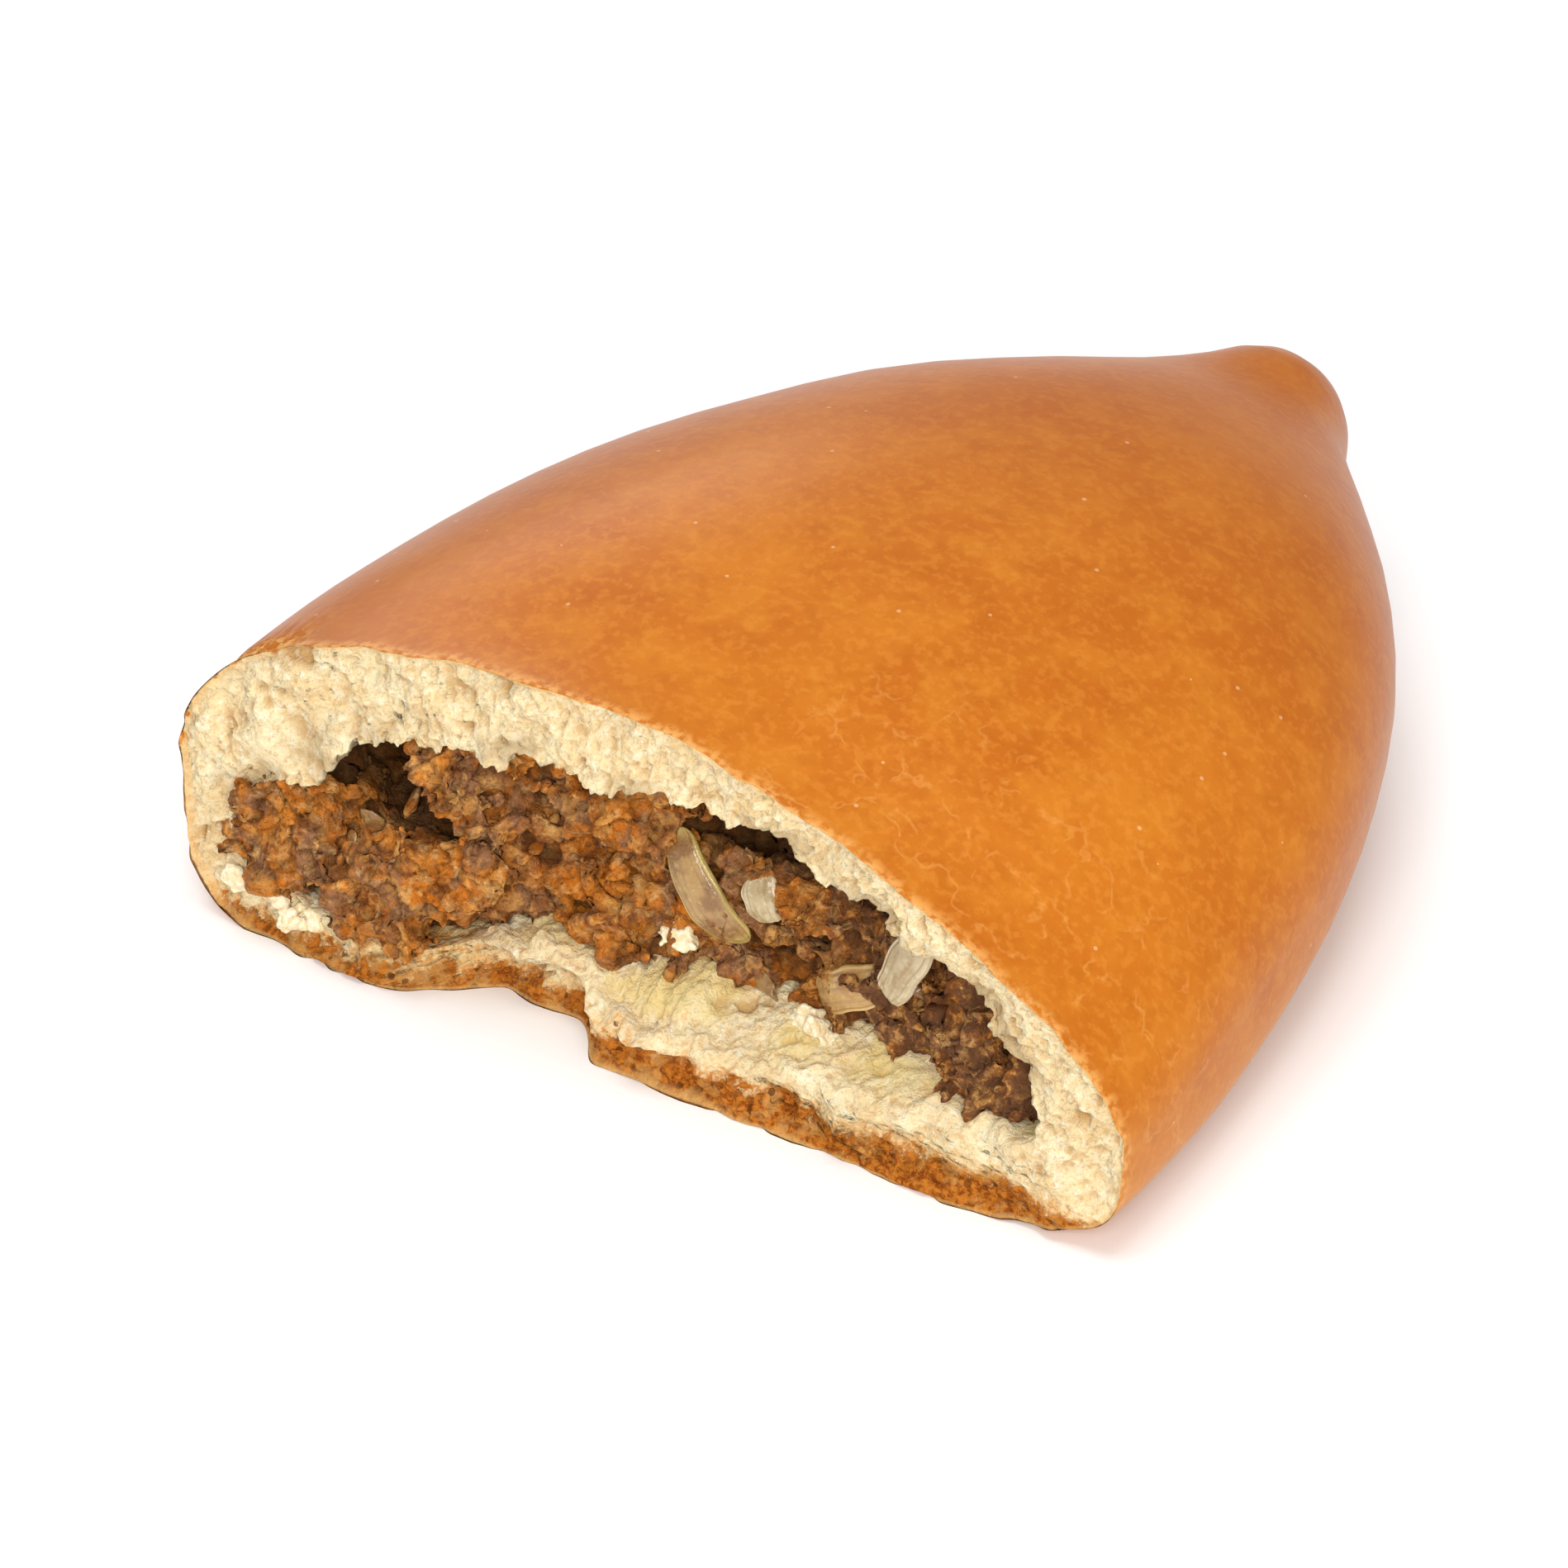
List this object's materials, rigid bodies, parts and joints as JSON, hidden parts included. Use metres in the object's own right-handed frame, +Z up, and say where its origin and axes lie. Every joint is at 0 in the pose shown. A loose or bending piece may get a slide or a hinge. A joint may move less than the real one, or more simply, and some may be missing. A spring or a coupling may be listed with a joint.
{
  "type": "torn half of a baked piroshki with minced meat and onion",
  "caption": "Torn half of a baked, boat-shaped piroshki: smooth browned crust, pale crumb wall, and a craggy filling of minced meat and onion showing at the tear.",
  "frame": {"origin": "middle of the base of the bounding box, on the surface it stands on", "axes": "+Z up; the torn face looks along -Y and the pinched tip points along +Y; +X is to the right as seen facing the tear"},
  "size_m": [0.0716, 0.076, 0.0295],
  "materials": {
    "crust": "egg-glazed baked crust, golden brown, with pale open crumb where it is torn",
    "mince": "moist cooked minced meat",
    "onion": "softened, glassy cooked onion"
  },
  "bodies": {
    "root": {"dough": "crust", "filling": "mince", "onion_petal": "onion", "onion_chunk": "onion", "onion_fan": "onion"}
  },
  "joints": []
}
